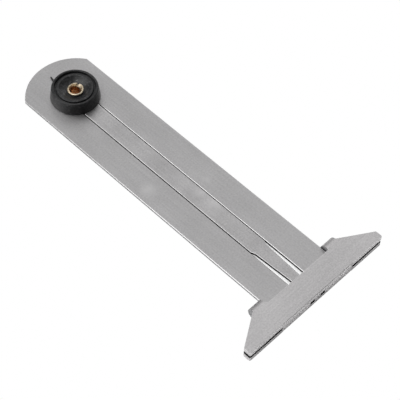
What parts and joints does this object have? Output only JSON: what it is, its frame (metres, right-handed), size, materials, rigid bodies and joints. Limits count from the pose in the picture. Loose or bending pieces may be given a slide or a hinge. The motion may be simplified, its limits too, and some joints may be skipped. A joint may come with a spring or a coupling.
{
  "type": "tire tread depth gauge",
  "caption": "Flat steel tread depth gauge: a slotted blade with a folded T-shaped foot and a sliding probe strip moved by a round thumb knob.",
  "frame": {"origin": "middle of the flat measuring face under the foot, in the blade's middle plane", "axes": "+X along the foot, +Y from the measuring face up the blade to the knob, +Z out of the blade on the knob's side"},
  "size_m": [0.0536, 0.1137, 0.0067],
  "materials": {
    "stainless": "satin, fine grain along the sheet",
    "black_plastic": "satin moulded plastic",
    "brass": "dull rolled brass"
  },
  "bodies": {
    "frame": {"blade": "stainless", "foot": "stainless"},
    "slider": {"probe_strip": "stainless", "knob": "black_plastic", "rivet": "brass", "back_washer": "stainless"}
  },
  "joints": [
    {"name": "probe_slide", "type": "slide", "parent": "frame", "child": "slider", "axis": [0, -1, 0], "range_m": [0, 0.083]}
  ]
}
